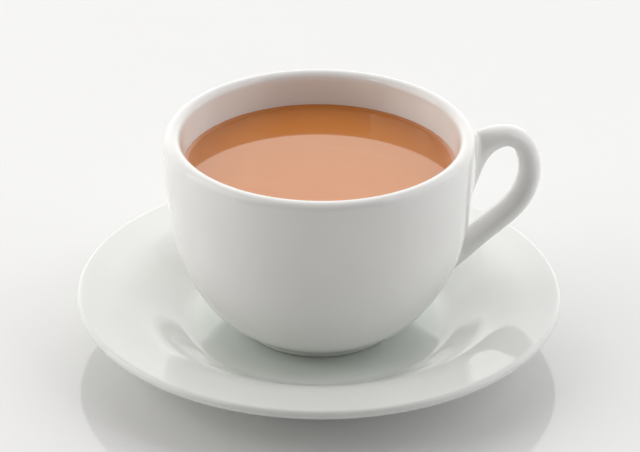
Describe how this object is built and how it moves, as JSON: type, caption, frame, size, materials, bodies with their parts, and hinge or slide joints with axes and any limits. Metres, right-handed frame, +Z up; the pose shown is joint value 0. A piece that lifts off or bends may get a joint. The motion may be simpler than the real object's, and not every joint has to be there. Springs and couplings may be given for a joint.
{
  "type": "cup of tea with milk",
  "caption": "Round white cup with a looped side handle, filled with milky tea and standing on a wide saucer with a raised lip.",
  "frame": {"origin": "centre of the saucer's foot ring, on the table", "axes": "+Z up through the middle of the cup and saucer, +X towards the handle"},
  "size_m": [0.15, 0.15, 0.0718],
  "materials": {
    "saucer_glaze": "smooth white glaze, glossy",
    "cup_glaze": "smooth warm white glaze, glossy",
    "tea": "opaque milky tea, still and wet"
  },
  "bodies": {
    "root": {"saucer": "saucer_glaze", "cup": "cup_glaze", "tea": "tea"}
  },
  "joints": []
}
